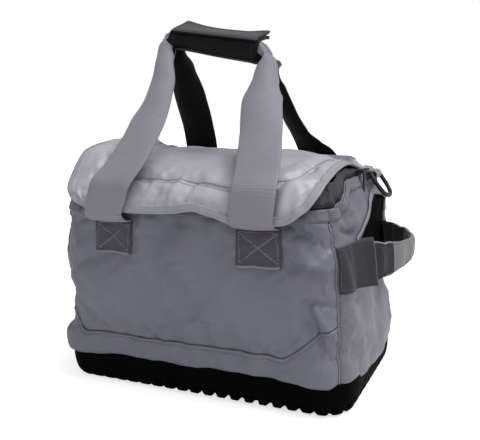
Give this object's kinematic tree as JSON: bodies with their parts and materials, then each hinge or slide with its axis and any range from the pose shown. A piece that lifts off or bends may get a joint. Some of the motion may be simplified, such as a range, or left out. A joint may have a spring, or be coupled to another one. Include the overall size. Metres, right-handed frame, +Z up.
{
  "type": "tackle bag",
  "caption": "Soft-sided tackle bag on a moulded tray base, with a padded lid on a fabric hinge, carry handles joined by a wrap grip, end grab handles and D-rings.",
  "frame": {"origin": "bottom centre of the tray, on the ground", "axes": "+Z up, +X along the bag's length to the right seen from the front, the front faces -Y"},
  "size_m": [0.434, 0.2432, 0.4259],
  "materials": {
    "tray_eva": "moulded EVA, satin",
    "board": "plain sheet",
    "coated_fabric": "coated polyester, soft sheen",
    "lid_fabric": "coated polyester, soft sheen",
    "binding": "folded coated tape",
    "seam_cord": "piped seam",
    "pocket_mesh": "black mesh",
    "liner_fabric": "thin woven lining",
    "foam": "closed-cell foam",
    "zip_tape": "woven tape",
    "zip_coil": "nylon coil",
    "webbing_dark": "woven polyester, close rib",
    "webbing_grey": "woven polyester, close rib",
    "side_handle_fabric": "coated fabric tube",
    "grip_neoprene": "soft coated wrap, stitched edges",
    "ring_plastic": "moulded plastic",
    "zip_metal": "dark painted",
    "pull_cord": "moulded tab"
  },
  "bodies": {
    "root": {"base_tray": "tray_eva", "base_board": "board", "inner_liner": "liner_fabric", "front_panel": "coated_fabric", "front_yoke": "coated_fabric", "rear_panel": "coated_fabric", "rear_yoke": "coated_fabric", "right_gusset": "coated_fabric", "left_gusset": "coated_fabric", "right_pocket_panel": "pocket_mesh", "left_pocket_panel": "pocket_mesh", "right_pocket_binding": "binding", "left_pocket_binding": "binding", "corner_piping_front_left": "binding", "corner_piping_front_right": "binding", "corner_piping_rear_left": "binding", "corner_piping_rear_right": "binding", "yoke_piping_front": "seam_cord", "yoke_piping_rear": "seam_cord", "zip_tape_body": "zip_tape", "zip_coil": "zip_coil", "lid_hinge_strip": "coated_fabric", "front_strap_patch_left": "webbing_dark", "front_strap_patch_right": "webbing_dark", "rear_strap_patch_left": "webbing_dark", "rear_strap_patch_right": "webbing_dark", "side_handle_anchor_front_left": "webbing_dark", "side_handle_anchor_front_right": "webbing_dark", "side_handle_anchor_rear_left": "webbing_dark", "side_handle_anchor_rear_right": "webbing_dark", "ring_keeper_left": "webbing_grey", "ring_keeper_right": "webbing_grey"},
    "lid": {"lid_panel": "lid_fabric", "lid_foam": "foam", "lid_lining": "liner_fabric", "lid_hem": "lid_fabric", "zip_tape_lid": "zip_tape"},
    "front_handle": {"front_handle_webbing": "webbing_grey", "grip_wrap": "grip_neoprene"},
    "grip_flap": {"grip_flap": "grip_neoprene"},
    "rear_handle": {"rear_handle_webbing": "webbing_grey"},
    "side_handle_left": {"side_handle_left": "side_handle_fabric"},
    "side_handle_right": {"side_handle_right": "side_handle_fabric"},
    "d_ring_left": {"d_ring_left": "ring_plastic"},
    "d_ring_right": {"d_ring_right": "ring_plastic"},
    "zip_slider": {"zip_slider": "zip_metal"},
    "zip_pull": {"zip_pull": "pull_cord"}
  },
  "joints": [
    {"name": "lid_hinge", "type": "hinge", "parent": "root", "child": "lid", "pos_m": [0, 0.1028, 0.2545], "axis": [-1, 0, 0], "range_deg": [0, 105]},
    {"name": "front_handle_swing", "type": "hinge", "parent": "root", "child": "front_handle", "pos_m": [0, -0.128, 0.204], "axis": [1, 0, 0], "range_deg": [0, 168]},
    {"name": "rear_handle_swing", "type": "hinge", "parent": "root", "child": "rear_handle", "pos_m": [0, 0.1125, 0.206], "axis": [-1, 0, 0], "range_deg": [0, 168]},
    {"name": "grip_flap_hinge", "type": "hinge", "parent": "front_handle", "child": "grip_flap", "pos_m": [0.0013, -0.014, 0.40998], "axis": [0.9816, 0, -0.1908], "range_deg": [0, 150]},
    {"name": "side_handle_left_swing", "type": "hinge", "parent": "root", "child": "side_handle_left", "pos_m": [-0.184, 0.0025, 0.156], "axis": [0, 1, 0], "range_deg": [-15, 30]},
    {"name": "side_handle_right_swing", "type": "hinge", "parent": "root", "child": "side_handle_right", "pos_m": [0.184, 0.0025, 0.156], "axis": [0, -1, 0], "range_deg": [-15, 30]},
    {"name": "d_ring_left_swing", "type": "hinge", "parent": "root", "child": "d_ring_left", "pos_m": [-0.1715, 0.04, 0.238], "axis": [0, 1, 0], "range_deg": [-22, 110]},
    {"name": "d_ring_right_swing", "type": "hinge", "parent": "root", "child": "d_ring_right", "pos_m": [0.1715, 0.04, 0.238], "axis": [0, -1, 0], "range_deg": [-22, 110]},
    {"name": "zip_slider_travel", "type": "slide", "parent": "root", "child": "zip_slider", "axis": [0, -1, 0], "range_m": [0, 0.033]},
    {"name": "zip_pull_swing", "type": "hinge", "parent": "zip_slider", "child": "zip_pull", "pos_m": [0.16773, 0.005, 0.2453], "axis": [0, -1, 0], "range_deg": [0, 150]}
  ],
  "couplings": [
    {"joint": "front_handle_swing", "follows": "lid_hinge", "ratio": 1.6},
    {"joint": "rear_handle_swing", "follows": "lid_hinge", "ratio": 1.6}
  ]
}
